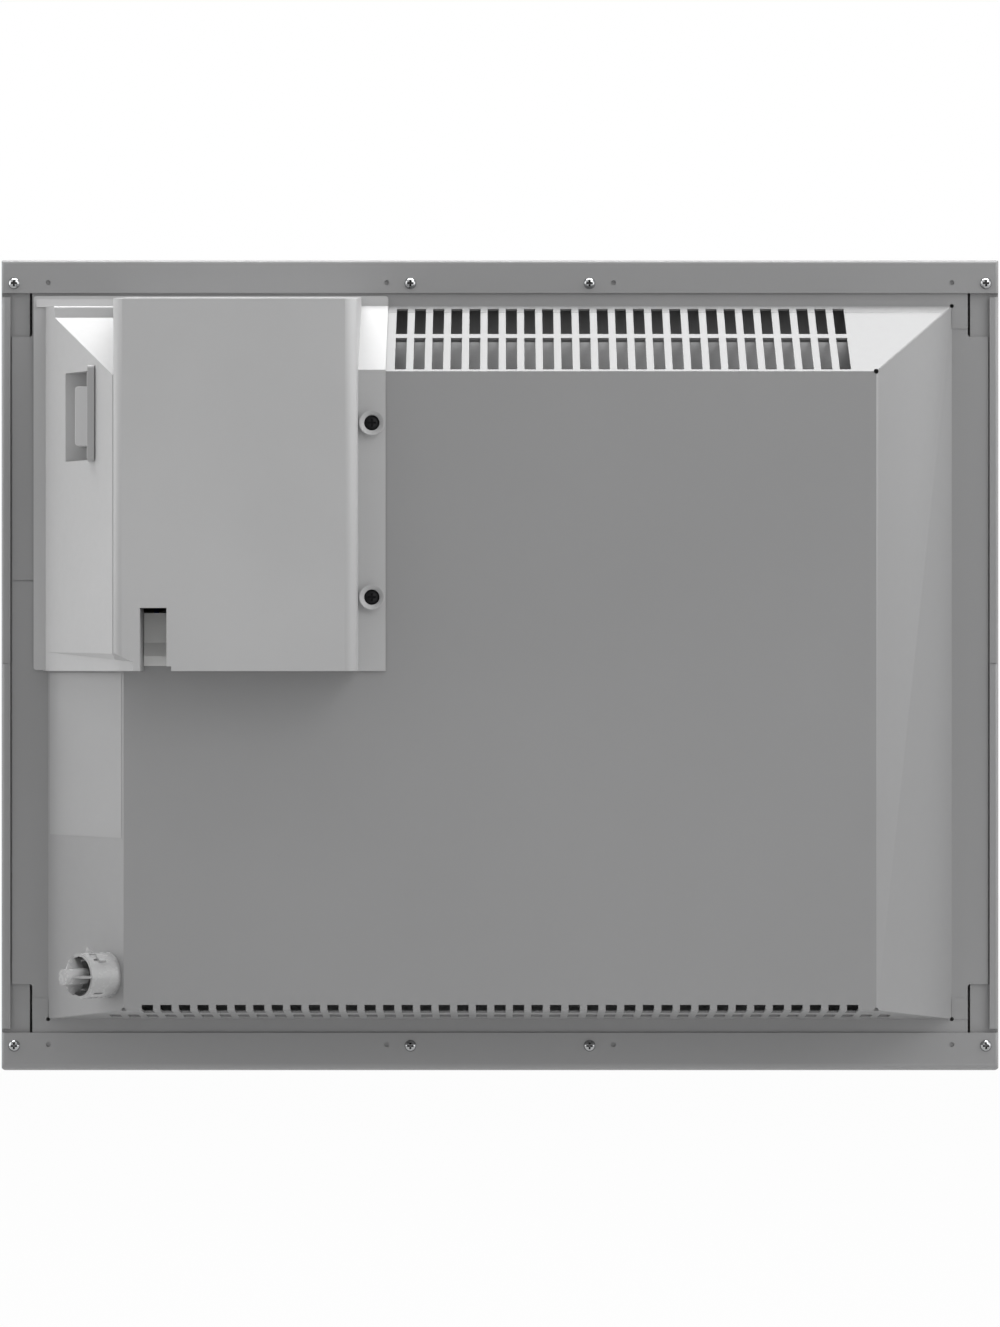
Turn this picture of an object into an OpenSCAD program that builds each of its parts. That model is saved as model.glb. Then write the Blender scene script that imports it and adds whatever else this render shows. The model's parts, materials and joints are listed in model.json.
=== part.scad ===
// Wall-hung electric panel heater, seen in the source from behind.
// X runs across, Y from the room to the wall, Z up. The origin is the middle of
// the flat back of the rear casing. The source counts depth from the plane of
// the front panel's rear rim, and placed() moves each sub-part to the origin.

/* [Overall size] */
// Width of the body
body_w = 440; // [400:1:1200]
// Height of the body
body_h = 357.7; // [340:0.1:420]
// Depth from the front face to the back of the rear casing
body_d = 55; // [52:0.5:70]
// Depth of the folded front panel
panel_d = 11; // [9:0.5:14]
// Thickness of the sheet steel
sheet = 1; // [0.8:0.1:1.2]

/* [Front panel rim] */
// Height of the upper rear rail
top_rail_h = 14.6; // [12:0.1:16]
// Height of the lower rear rail
bottom_rail_h = 16.8; // [14:0.1:18]
// Width of the rim strip down each side
side_strip_w = 4; // [3:0.1:5]
// Bend radius along the sides and the top
bend_r = 1.6; // [1.2:0.1:2.5]
// Bend radius along the bottom
bottom_bend_r = 3.6; // [2:0.1:4]
// Height of the relief cut between a rail and a side strip
relief_h = 1.8; // [1:0.1:3]
// Length of the corner tab that shows below each rail
tab_len = 18.6; // [14:0.1:24]
// Distance from the side of the body to a tab's inner edge
tab_reach = 12.4; // [10:0.1:13]

/* [Rear casing] */
// Gap between the side of the body and the casing's flange
flange_inset = 4.1; // [4.1:0.1:6]
// Width of the slot between a corner tab and the flange
tab_slot_w = 1.2; // [1:0.1:2.5]
// Distance from the side of the body to the mouth of the tray
mouth_side = 20.6; // [18:0.1:24]
// Distance from the top of the body to the mouth of the tray
mouth_top = 20.25; // [18.5:0.1:24]
// Distance from the bottom of the body to the mouth of the tray
mouth_bottom = 22.75; // [21:0.1:26]
// How far each side slope leans inwards
side_run = 37.2; // [30:0.1:45]
// How far the top slope leans inwards
top_run = 31.8; // [26:0.1:38]
// How far the bottom slope leans inwards
bottom_run = 7.4; // [5:0.1:12]

/* [Ventilation slots] */
// Distance between slot centres
slot_pitch = 8; // [7:0.1:10]
// Width of a slot
slot_w = 4.9; // [3.5:0.1:5.5]
// Where the upper row starts and ends along the top slope
upper_row = [2.4, 24];
// Where the lower row starts and ends along the top slope
lower_row = [27.2, 53.6];
// Clear sheet beside the first slot of the top slope
slot_margin = 13.2; // [8:0.1:20]
// Height of the bottom slots on the back of the tray
foot_slot_h = 2.4; // [2:0.1:4]

/* [Casing screws] */
// Radius of the screw heads
head_r = 2.6; // [2:0.1:2.8]
// Height of the screw heads
head_h = 1.5; // [1:0.1:2]
// Radius of the screw threads
thread_r = 1.45; // [1.2:0.05:1.6]
// Length of the screw threads
thread_len = 6; // [5:0.5:8]
// Distance of the outer screws from the side of the body
outer_screw = 5.7; // [5:0.1:7]
// Distance of the inner screws from the middle
inner_screw = 39.5; // [30:0.5:60]
// Depth of the screw rows below the top edge
top_screw_row = 10.3; // [8:0.1:11]
// Height of the screw rows above the bottom edge
bottom_screw_row = 11.1; // [9:0.1:13]
// Radius of the small dimples beside the screws
dimple_r = 1.1; // [0.8:0.1:1.6]

/* [Control box] */
// Width over the flanges
box_w = 156.3; // [150:0.1:170]
// Height over the flanges
box_h = 164.8; // [150:0.1:180]
// Gap between the side of the body and the box
box_side = 14.4; // [13.8:0.1:16]
// Gap between the top of the body and the box
box_top = 16.05; // [15.8:0.1:18]
// How far the box stands out behind the tray
box_rise = 21.6; // [20:0.1:26]
// Thickness of the moulded walls
wall = 2.2; // [1.8:0.1:2.6]
// Thickness of the wall that lies on the tray beside the main block
strip_t = 1.15; // [1:0.05:2]
// Width of the sloping side part, from the flange to the main block
box_slope_w = 40.5; // [38:0.1:46]
// Width of the screw strip beside the main block
strip_w = 11.8; // [11:0.1:14]
// Radius of the block's edge above the slope
edge_r = 4; // [2:0.5:5]
// Radius of the block's edge above the strip
strip_edge_r = 5; // [3:0.5:6]
// How far the top wall leans inwards
top_draft = 5.8; // [3:0.1:8]

/* [Cord outlet] */
// Width of the outlet notch
notch_w = 11.4; // [9:0.1:14]
// Height of the outlet notch above the lower edge of the box
notch_h = 26.5; // [20:0.1:32]
// Distance from the block's sloping side to the middle of the notch
notch_x = 17.3; // [15:0.1:30]
// Radius of the supply cord that the outlet takes
cord_r = 3.4; // [3:0.1:4]

/* [Power switch] */
// Height of the middle of the switch above the lower edge of the box
switch_z = 110.3; // [90:0.1:115]
// Length of the rocker
rocker_len = 25.8; // [20:0.1:28]
// Width of the rocker
rocker_w = 10.2; // [8:0.1:11]
// How far the rocker stands out of its frame
rocker_out = 5.5; // [3:0.1:6]
// Angle that the rocker tilts each way
rocker_tilt = 6; // [3:0.5:7]
// Thickness of the rib between the main block and the rocker
rib_t = 3; // [2:0.1:4]
// How far the rib stands out of the slope
rib_rise = 5.6; // [3:0.1:8]

/* [Heating element] */
// Distance from the corner of the tray's back to the element's bracket
bracket_side = 13.2; // [12:0.1:60]
// Height of the finned profile
element_h = 56; // [40:1:60]
// Depth of the finned profile
element_d = 32; // [24:1:34]
// Height of the element above the bottom of the body
element_z = 80; // [72:1:110]
// Radius of the sheathed rod
rod_r = 4.2; // [3.5:0.1:5]

/* [Room sensor] */
// Height of the sensor above the bottom of the body
sensor_z = 44.9; // [40:0.1:80]
// Radius of the sensor cage
cage_r = 9.8; // [8:0.1:11]
// Length of the cage's round body
cage_len = 15; // [12:0.1:18]
// Distance from the casing to the cage's tip
cage_tip = 23.5; // [20:0.1:26]

/* [Hidden] */
$fn = 48;

// Colours of the materials
PAINT = "#B9B9B9";
PLASTIC = "#C4C4C4";
STEEL = "#C9CCD0";
BLACK = "#1C1C1E";
BOARD = "#2E6B45";

// Extent used where a cutter only has to reach past the part
far = body_w + body_h;
// Play left between pieces that seat on each other
seat = 0.2;
// Play of a screw in its clearance hole
screw_play = 0.15;
// Width and depth of the cross recess in a screw's head
recess_w = 0.85;
recess_d = 1.15;
// Play of the rocker's pins in their bores
pin_play = 0.05;
// Overlap that makes a cutter break the surface cleanly
eps = 0.5;

// Grooves, relief cuts and tabs of the rim
groove_d = 0.4;
dimple_d = 0.8;
seam_z = 0.6;
seam_w = 0.5;
relief_d = 2;
low_tab_more = 2.2;
tab_gap = 0.6;
tab_under = 3;
tab_corner_r = 1.3;
lap = [7, 9.4, 0.3];
hip_hole_r = 1.1;
hip_seam_r = 0.25;
rim_hole_r = 0.9;
edge_roll = 0.8;
joint_z = 37.1;
bead_y = 3.8;
bead = [1.2, 0.2];

// Planes and edges of the body
half_w = body_w / 2;
half_h = body_h / 2;
front_y = -panel_d;
tray_y = body_d - panel_d;
flange_y = -sheet;
rise = tray_y - flange_y;
mouth_half = half_w - mouth_side;
mouth_up = half_h - mouth_top;
mouth_low = -half_h + mouth_bottom;
back_half = mouth_half - side_run;
back_up = mouth_up - top_run;
back_low = mouth_low + bottom_run;
rail_up = half_h - top_rail_h;
rail_low = -half_h + bottom_rail_h;
side_len = sqrt(pow(side_run, 2) + pow(rise, 2));
top_len = sqrt(pow(top_run, 2) + pow(rise, 2));
bottom_len = sqrt(pow(bottom_run, 2) + pow(rise, 2));
slope_turn = atan2(side_run, rise);

// Edges of the control box
box_left = half_w - box_side;
box_right = box_left - box_w;
box_up = half_h - box_top;
box_low = box_up - box_h;
block_left = box_left - box_slope_w;
block_right = box_right + strip_w;
flange_t = 2.2;
flange_top = flange_y + flange_t;
face_y = tray_y + box_rise;
block_low = box_low - 0.4;
slope_foot = box_left - 5.3;
slope_head = block_left + 1.1;
slope_head_y = tray_y + 9.4;
slope_lean = (slope_foot - slope_head) / (slope_head_y - flange_top);
ledge_y = flange_top + 7.4;
ledge_up = box_up - 4.9;
ledge_low = ledge_up - 5.2;
ledge_tilt = 6;
ledge_r = 1.1;
ledge_fall = (ledge_up - ledge_low) * tan(ledge_tilt);
lip_rise = 0.8;
lip_r = 1.3;
cap_low = back_up - 2.1;
skirt_head = block_left - 8.7;
skirt_z = box_low + 7.9;

// Strip screws of the control box
strip_x = (box_right + block_right) / 2;
strip_screws_z = [box_up - 58.3, box_up - 133.4];
strip_hole_r = 3.4;
strip_bore_r = 1.9;
strip_floor_y = tray_y + seat + 0.8;
strip_ring_r = 5.5;
strip_ring_y = tray_y + 3.1;
strip_screw = [strip_hole_r - screw_play, 1.6, 1.75, 9];

// Outlet notch
notch_mid = block_left - notch_x;
notch_left = notch_mid + notch_w / 2;
notch_right = notch_mid - notch_w / 2;
slope_in_x = notch_left + wall + 1;
notch_up = box_low + notch_h;
wire_window = [notch_right - 3, notch_left + 3];
wire_window_low = notch_up - 2;
wire_window_up = notch_up + 64;

// Power switch, whose rocker tilts about an axis along Y
pocket_floor = flange_top + 15.8;
pocket_wall_x = slope_foot - 22.1;
pocket_in_x = pocket_wall_x - rib_t;
rib_y = flange_top + (slope_foot - pocket_wall_x) / slope_lean + rib_rise;
rib_over = [0.8, 2.2];
rib_r = 1.3;
pocket_h = rocker_len + 12.8;
switch_mid_z = box_low + switch_z;
switch_mid_y = pocket_floor + 7;
frame_t = 0.9;
frame_r = 1.5;
frame_more = 2.7;
pivot_depth = 6.2;
pivot_x = pocket_wall_x - pivot_depth;
pin_r = 1.2;
well_w = rocker_w + 0.6;
well_len = rocker_len + 2 * (pivot_depth + frame_t) * sin(rocker_tilt) + 0.9;
neck_w = well_w + 1.8;
neck_len = well_len + 2.2;
rocker_face = pocket_wall_x + frame_t + rocker_out;
window_y = [pocket_floor - 3.6, pocket_floor + 17.2];
window_h = pocket_h + 7.6;

// Electronics inside the control box
base_y = tray_y;
base_t = 1.8;
board_y = base_y + base_t + 4.5;
board_t = 1.6;
board_face = board_y + board_t;
board_x = [block_right + wall + 5, notch_right - 8];
board_z = [notch_up + 8, back_up - 14];
post_r = 2.6;
part_h = face_y - wall - board_face - 1;
part_gap = 2;
post_in = 4;
relay_x = [board_x[1] - 24, board_x[1] - 8.5];
relay_z = [board_z[0] + 8, board_z[0] + 27];
module_x = [board_x[0] + 9, relay_x[0] - part_gap];
module_z = [board_z[0] + 8, board_z[0] + 28];
film_x = [board_x[1] - 21, board_x[1] - 9];
film_z = [relay_z[1] + part_gap, relay_z[1] + part_gap + 15];
can_r = 4.5;
can_z = [module_z[1] + part_gap, module_z[1] + part_gap + 12];
can_x = board_x[0] + 14;
fuse_x = board_x[1] - 15;
fuse_z = [film_z[1] + part_gap, film_z[1] + part_gap + 15];
fuse_r = 2.2;
fuse_clip = [2.6, 3.5];
radio_x = [board_x[0] + 11, board_x[0] + 29];
radio_z = [can_z[1] + part_gap, can_z[1] + part_gap + 18];
radio_t = [0.8, 2.4];

// Terminals, cord bush and cord clamp
term_x = [notch_mid - 9, notch_mid + 9];
term_z = [notch_up + 27, notch_up + 45];
term_h = 10;
term_y = base_y + base_t + 4.6;
term_step = 5.6;
bush_y = base_y + base_t + cord_r + 2.2;
saddle_y = bush_y - cord_r - 0.4;
notch_floor_y = base_y + 1.2;
bush_z = [notch_up + 4.5, notch_up + 25];
clamp_y = bush_y - 1;
clamp_z = notch_up + 19.5;
clamp_half = cord_r + 6.2;
clamp_t = 1.2;
wire_z = notch_up + 57;
base_hole_z = [notch_up + 48, notch_up + 62];

// Heating element and what holds it
element_mid_y = (front_y + tray_y) / 2 - 4;
element_mid_z = -half_h + element_z;
bracket_x = back_half - bracket_side;
bracket_t = 1.5;
bracket_foot = 9;
bracket_h = 40;
bracket_reach = 10;
element_len = 2 * (bracket_x - 3);
fin_t = 1.2;
tube_t = 2.2;
rod_len = element_len + 28;
pin_len = 12;
rod_end = rod_len / 2 + pin_len;
shield_half = back_half - 32;
shield_y = tray_y - sheet - 10;
shield_t = 0.8;
shield_low = element_mid_z - element_h / 2 - 8;
shield_bend = [back_up - 26.8, back_up - 11.8];
shield_set = 13;
shield_up = back_up + 14.2;
hood_side = 8;
shield_foot = [8, 14];
cutout_x = shield_half - 60;
cutout_z = element_mid_z + element_h / 2 + 22;
cutout_r = 8;
cutout_h = 7;
cutout_tab = [13.5, 3, 1];
blade = [4, 2.4, 0.4, 7];
rivet_x = 11;
rivet_r = 1.5;
lead_r = 1.1;
lead_swing = 6;
lead_climb = 16;
lead_drop = 9;
earth_x = notch_mid - 30;
earth_z = wire_z - 2;

// Rating label
label_side = 1.6;
label_top = 1.4;
label_h = 71;
label_t = 0.1;
label_lift = 0.01;

// Room sensor
sensor_y = 35;
sensor_mid_z = -half_h + sensor_z;
neck_r = 6;
nose_r = 3.4;
cage_t = 1.3;
cage_slot = [1, 4.5];
cage_slots = [-42, -18, 18, 42];

// Moves a sub-part from the rim plane to the origin
module placed() { translate([0, -tray_y, 0]) children(); }

function side_x(y) = mouth_half - side_run * (y - flange_y) / rise;
function top_z(y) = mouth_up - top_run * (y - flange_y) / rise;
function bottom_z(y) = mouth_low + bottom_run * (y - flange_y) / rise;
function slope_x(y) = slope_foot - slope_lean * (y - flange_top);

// Solids with a flat profile drawn in X and Y, in Y and Z, or in X and Z
module along_z(z0, z1) { translate([0, 0, z0]) linear_extrude(z1 - z0) children(); }
module along_x(x0, x1) { translate([x0, 0, 0]) rotate([90, 0, 90]) linear_extrude(x1 - x0) children(); }
module along_y(y0, y1) { translate([0, y1, 0]) rotate([90, 0, 0]) linear_extrude(y1 - y0) children(); }

// Block between two limits on each axis
module span(x, y, z) {
    translate([x[0], y[0], z[0]]) cube([x[1] - x[0], y[1] - y[0], z[1] - z[0]]);
}

// Round bar along Y, and round bar along X
module bar_y(x, z, r, y0, y1) { translate([x, y0, z]) rotate([-90, 0, 0]) cylinder(r = r, h = y1 - y0); }
module bar_x(y, z, r, x0, x1) { translate([x0, y, z]) rotate([0, 90, 0]) cylinder(r = r, h = x1 - x0); }

// Rectangle between two limits, with the radii of its lower left, lower
// right, upper right and upper left corners
module panel2d(u, v, r) {
    difference() {
        translate([u[0], v[0]]) square([u[1] - u[0], v[1] - v[0]]);
        corner_cut(u[0], v[0], 1, 1, r[0]);
        corner_cut(u[1], v[0], -1, 1, r[1]);
        corner_cut(u[1], v[1], -1, -1, r[2]);
        corner_cut(u[0], v[1], 1, -1, r[3]);
    }
}
module corner_cut(u, v, su, sv, r) {
    if (r > 0)
        translate([u, v]) scale([su, sv]) difference() {
            translate([-eps, -eps]) square([r + eps, r + eps]);
            translate([r, r]) circle(r = r);
        }
}

// Body of the tray, grown outwards by the distance g, from y0 to its back
module tray_form(g, y0) {
    y1 = tray_y + g;
    gx = g * side_len / rise;
    gt = g * top_len / rise;
    gb = g * bottom_len / rise;
    intersection() {
        along_z(-far, far) polygon([[-side_x(y0) - gx, y0], [side_x(y0) + gx, y0],
            [side_x(y1) + gx, y1], [-side_x(y1) - gx, y1]]);
        along_x(-far, far) polygon([[y0, bottom_z(y0) - gb], [y0, top_z(y0) + gt],
            [y1, top_z(y1) + gt], [y1, bottom_z(y1) - gb]]);
    }
}

// Places its children on the side slope behind the control box, at a depth
// and a height, with their own Z axis square to the sheet
module on_side_slope(y, z) {
    translate([side_x(y), y, z]) rotate([0, 90, slope_turn]) children();
}

// Positions of the casing screws, as [x, z]
function screw_spots() = [for (sx = [-1, 1], x = [half_w - outer_screw, inner_screw],
    z = [half_h - top_screw_row, -half_h + bottom_screw_row]) [sx * x, z]];
function dimple_spots() = [for (sx = [-1, 1], x = [half_w - outer_screw - 15, inner_screw + 10.5],
    z = [half_h - top_screw_row + 0.3, -half_h + bottom_screw_row + 0.5]) [sx * x, z]];

// Folded steel front with its rear rim
module pan_form(inset) {
    intersection() {
        along_z(-half_h + inset, half_h - inset)
            panel2d([-half_w + inset, half_w - inset], [front_y + inset, -inset],
                [for (i = [0:3]) max(bend_r - inset, 0.2)]);
        along_x(-half_w, half_w)
            panel2d([front_y + inset, -inset], [-half_h + inset, half_h - inset],
                [bend_r - inset, bottom_bend_r - inset, bend_r - inset, bend_r - inset]);
        along_y(front_y, eps) panel2d([-half_w, half_w], [-half_h, half_h], [2, 2, 1, 1]);
    }
}
module front_panel() {
    color(PAINT) placed() difference() {
        union() {
            difference() {
                pan_form(0);
                pan_form(sheet);
                span([side_strip_w - half_w, half_w - side_strip_w], [-sheet - eps, eps],
                    [rail_low, rail_up]);
            }
            for (sx = [0, 1]) mirror([sx, 0, 0]) {
                corner_tab([rail_up - tab_len - tab_under, rail_up], [rail_up, half_h - sheet - bend_r]);
                corner_tab([rail_low, rail_low + tab_len + low_tab_more + tab_under],
                    [-half_h + sheet + bottom_bend_r, rail_low]);
            }
        }
        for (sx = [0, 1]) mirror([sx, 0, 0]) {
            for (z = [rail_up - relief_h, rail_low])
                span([half_w - side_strip_w - eps, half_w + eps], [-relief_d, eps], [z, z + relief_h]);
            span([half_w - side_strip_w - eps, half_w + eps], [-groove_d, eps], [seam_z, seam_z + seam_w]);
        }
        for (p = screw_spots()) bar_y(p[0], p[1], thread_r + screw_play, -panel_d + sheet + 2, eps);
        for (p = dimple_spots()) bar_y(p[0], p[1], dimple_r, -dimple_d, eps);
    }
}
// Tab that hangs below a rail: the part in view, and the part under the rail
module corner_tab(view, under) {
    x = [half_w - tab_reach, half_w - sheet - seat / 2];
    span(x, [-3 * sheet, -2 * sheet], [min(view[0], under[0]), max(view[1], under[1])]);
    span(x, [-2 * sheet - eps, -sheet], under);
}

// Rear casing: a shallow tray with a flange, vents and openings
module rear_casing() {
    color(PAINT) placed() difference() {
        union() {
            casing_flange();
            tray_form(0, flange_y - sheet);
            corner_laps();
        }
        tray_form(-sheet, flange_y - sheet - eps);
        top_slots();
        bottom_slots();
        casing_openings();
    }
}
module casing_flange() {
    notch_x = half_w - tab_reach - tab_slot_w;
    edge_x = half_w - flange_inset;
    top_z = rail_up - tab_len - tab_gap;
    low_z = rail_low + tab_len + low_tab_more + tab_gap;
    intersection() {
        along_y(flange_y - sheet, flange_y) difference() {
            panel2d([-edge_x, edge_x], [-half_h + sheet + bottom_bend_r, half_h - sheet - bend_r],
                [0, 0, 0, 0]);
            for (sx = [-1, 1]) scale([sx, 1]) {
                panel2d([notch_x, edge_x + eps], [top_z, half_h], [tab_corner_r, 0, 0, 0]);
                panel2d([notch_x, edge_x + eps], [-half_h, low_z], [0, 0, 0, tab_corner_r]);
            }
        }
        along_z(-half_h, half_h)
            panel2d([-edge_x, edge_x], [flange_y - sheet, flange_y], [0, 0, edge_roll, edge_roll]);
    }
}
module corner_laps() {
    x = -mouth_half - lap[0];
    for (p = [[mouth_half, mouth_low], [x, mouth_low], [x, mouth_up - lap[1] - tab_gap]])
        span([p[0], p[0] + lap[0]], [flange_y - sheet, flange_y + lap[2]], [p[1], p[1] + lap[1]]);
}
module top_slots() {
    first = -back_half + slot_margin;
    count = floor((box_right - 3.5 - slot_w / 2 - first) / slot_pitch) + 1;
    for (i = [0:count - 1])
        translate([first + i * slot_pitch - slot_w / 2, flange_y, mouth_up])
            rotate([-atan2(top_run, rise), 0, 0])
                for (row = [upper_row, lower_row])
                    translate([0, row[0], -3]) cube([slot_w, row[1] - row[0], 5]);
}
module bottom_slots() {
    reach = floor((back_half - slot_w / 2 - 7) / slot_pitch);
    for (i = [-reach:reach])
        span([i * slot_pitch - slot_w / 2, i * slot_pitch + slot_w / 2],
            [flange_y + 0.72 * rise, tray_y + eps], [mouth_low, back_low + foot_slot_h]);
    for (i = [-reach - 2:reach + 2])
        span([i * slot_pitch - slot_w / 2, i * slot_pitch + slot_w / 2],
            [flange_y + 0.22 * rise, flange_y + 0.52 * rise], [mouth_low, back_low + 2]);
}
module casing_openings() {
    bead_out = bead[0] - bead[1];
    bar_x(bead_y + bead_out * top_run / top_len, top_z(bead_y) + bead_out * rise / top_len, bead[0],
        -side_x(bead_y) + 2, box_right);
    for (p = screw_spots()) if (abs(p[0]) < half_w - tab_reach)
        bar_y(p[0], p[1], thread_r + screw_play, flange_y - sheet - eps, flange_y + eps);
    for (sx = [-1, 1]) {
        for (z = [back_up, back_low]) bar_y(sx * back_half, z, hip_hole_r, tray_y - 3 * sheet, tray_y + eps);
        for (z = [mouth_up, mouth_low])
            bar_y(sx * mouth_half, z, rim_hole_r, flange_y - sheet - eps, 2 * sheet);
    }
    for (sx = [-1, 1], z = [[mouth_up, back_up], [mouth_low, back_low]]) hip_seam(sx, z);
    span([mouth_half + seam_w, half_w], [flange_y - groove_d, flange_y + eps], [joint_z, joint_z + seam_w]);
    for (z = strip_screws_z) bar_y(strip_x, z, strip_bore_r, tray_y - sheet - eps, tray_y + eps);
    span(wire_window, [tray_y - sheet - eps, tray_y + eps], [wire_window_low, wire_window_up]);
    span([pivot_x - 12, slope_foot], window_y,
        [switch_mid_z - window_h / 2, switch_mid_z + window_h / 2]);
    on_side_slope(sensor_y, sensor_mid_z) cylinder(r = neck_r + seat, h = 10, center = true);
    bar_y(earth_x, earth_z, 2.1, tray_y - sheet - eps, tray_y + eps);
}

// Fine groove where two sheets meet along a hip of the tray
module hip_seam(sx, z) {
    run = [sx * (back_half - mouth_half), rise, z[1] - z[0]];
    translate([sx * mouth_half, flange_y, z[0]])
        rotate([0, acos(run[2] / norm(run)), atan2(run[1], run[0])])
            cylinder(r = hip_seam_r, h = norm(run));
}

// Screws with a domed head and a cross recess
module pan_screw(r, h, shank_r, shank_len) {
    dome = (r * r + h * h) / (2 * h);
    difference() {
        union() {
            intersection() {
                translate([0, 0, h - dome]) sphere(r = dome);
                cylinder(r = r, h = h + eps);
            }
            translate([0, 0, -shank_len]) cylinder(r = shank_r, h = shank_len + h / 2);
        }
        for (a = [0, 90]) rotate(a)
            translate([-r * 0.55, -recess_w / 2, h - recess_d]) cube([r * 1.1, recess_w, h]);
    }
}
module casing_screws() {
    color(STEEL) placed() for (p = screw_spots())
        translate([p[0], 0, p[1]]) rotate([-90, 0, 0]) pan_screw(head_r, head_h, thread_r, thread_len);
}

// Cover of the control box. Its forms are drawn from the depth y0 backwards,
// and an inset gives the matching form of the cavity inside
module slope_prism(inset, y0) {
    lean = sqrt(pow(slope_lean, 2) + 1);
    foot = slope_foot - inset * lean;
    head = slope_head - inset * lean;
    cap_run = (ledge_low - cap_low) / (slope_head_y - ledge_y);
    cap_lean = sqrt(pow(cap_run, 2) + 1);
    low = inset > 0 ? skirt_z + wall : block_low;
    intersection() {
        along_z(-half_h, half_h) polygon([[slope_in_x, y0], [foot + slope_lean * (flange_top - y0), y0],
            [head, slope_head_y], [slope_in_x, slope_head_y]]);
        along_x(slope_in_x - 1, half_w) polygon(concat([[y0, low], [slope_head_y + 1, low],
            [slope_head_y + 1, cap_low - cap_run - inset * cap_lean],
            [ledge_y - inset, ledge_low - inset * cap_lean + cap_run * inset]],
            inset > 0 ? [[ledge_y - ledge_fall - inset, ledge_up - inset]] : ledge_edge(),
            [[y0, ledge_up - inset]]));
    }
}
// Rounded upper edge of the ledge, as [y, z]
function ledge_edge() =
    let (mid_z = ledge_up - ledge_r,
        mid_y = ledge_y - (ledge_r + (mid_z - ledge_low) * sin(ledge_tilt)) / cos(ledge_tilt))
    [for (i = [0:6]) let (a = ledge_tilt + i * (90 - ledge_tilt) / 6)
        [mid_y + ledge_r * cos(a), mid_z + ledge_r * sin(a)]];
module block_prism(inset, y0) {
    lean = sqrt(pow(top_draft / (face_y - flange_top), 2) + 1);
    up0 = box_up - 0.6 - inset * lean;
    intersection() {
        along_z(-half_h, half_h) panel2d([block_right + inset, block_left - inset],
            [y0, face_y - inset], [0, 0, max(edge_r - inset, 1), max(strip_edge_r - inset, 1)]);
        along_x(box_right, box_left) polygon([[y0, block_low + inset],
            [far, block_low + inset], [far, up0 - top_draft * (far - flange_top) / (face_y - flange_top)],
            [y0, up0 + top_draft * (flange_top - y0) / (face_y - flange_top)]]);
    }
}
module skirt_cavity(y0) {
    run = (slope_foot - skirt_head) / (face_y - flange_top);
    foot = slope_foot - wall * sqrt(run * run + 1);
    head_y = face_y - edge_r - wall;
    x0 = notch_left + wall + 0.3;
    along_z(block_low + wall, skirt_z + wall + 1) polygon([[x0, y0], [foot + run * (flange_top - y0), y0],
        [foot - run * (head_y - flange_top), head_y], [x0, head_y]]);
}
module box_outer() {
    along_y(flange_y, flange_top)
        panel2d([box_right, box_left], [box_low, box_up], [0, lip_r, lip_r, lip_r]);
    along_x(block_left - 1, box_left - lip_r) polygon([[flange_y, ledge_up],
        [flange_top + lip_rise, ledge_up], [flange_top, box_up - lip_r], [flange_y, box_up - lip_r]]);
    slope_prism(0, flange_y - 4);
    intersection() {
        block_prism(0, flange_y - 4);
        along_y(flange_y - 8, far) panel2d([block_right - 1, block_left + 1], [block_low - 1, box_up],
            [0, 0, 3, 3.4]);
    }
    intersection() {
        tray_form(strip_t, flange_y);
        span([box_right, block_right + wall], [flange_y, far], [block_low, box_up]);
    }
    for (z = strip_screws_z) difference() {
        bar_y(strip_x, z, strip_ring_r, tray_y, strip_ring_y);
        translate([strip_x, strip_ring_y - 1, z]) rotate([-90, 0, 0])
            cylinder(r1 = strip_hole_r - eps / 2, r2 = strip_ring_r - 0.4, h = 1.01);
    }
}
module box_cavity() {
    y0 = flange_y - 8;
    slope_prism(wall, y0);
    intersection() {
        block_prism(wall, y0);
        along_y(y0 - 1, far) polygon([[block_right, -half_h], [notch_right - wall, -half_h],
            [notch_right - wall, notch_up], [notch_left + wall, notch_up],
            [notch_left + wall, skirt_z + wall + 0.4], [box_left, skirt_z + wall + 0.4],
            [box_left, half_h], [block_right, half_h]]);
    }
    skirt_cavity(y0);
}
module skirt_cut() {
    run = (slope_foot - skirt_head) / (face_y - flange_top);
    edge_x = block_left + 0.3;
    edge_y = flange_top + (slope_foot - edge_x) / run;
    low_z = skirt_z - 3.4;
    hull() {
        along_x(slope_foot, slope_foot + 0.01) polygon([[flange_top, block_low - 2],
            [flange_top, skirt_z], [flange_top + 20, skirt_z], [flange_top + 20, block_low - 2]]);
        along_x(edge_x, edge_x + 0.01) polygon([[edge_y, block_low - 2], [edge_y, low_z],
            [slope_head_y + 2, skirt_z], [face_y + 8, skirt_z], [face_y + 8, block_low - 2]]);
    }
    hull() {
        along_x(edge_x, edge_x + 0.01) polygon([[edge_y, block_low - 2], [edge_y, low_z],
            [face_y - edge_r, skirt_z - 0.4], [face_y + 8, skirt_z - 0.4], [face_y + 8, block_low - 2]]);
        along_x(skirt_head, skirt_head + 0.01) polygon([[face_y - 0.01, block_low - 2],
            [face_y - 0.01, skirt_z - 4.4], [face_y + 8, skirt_z - 4.4], [face_y + 8, block_low - 2]]);
    }
}
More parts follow.
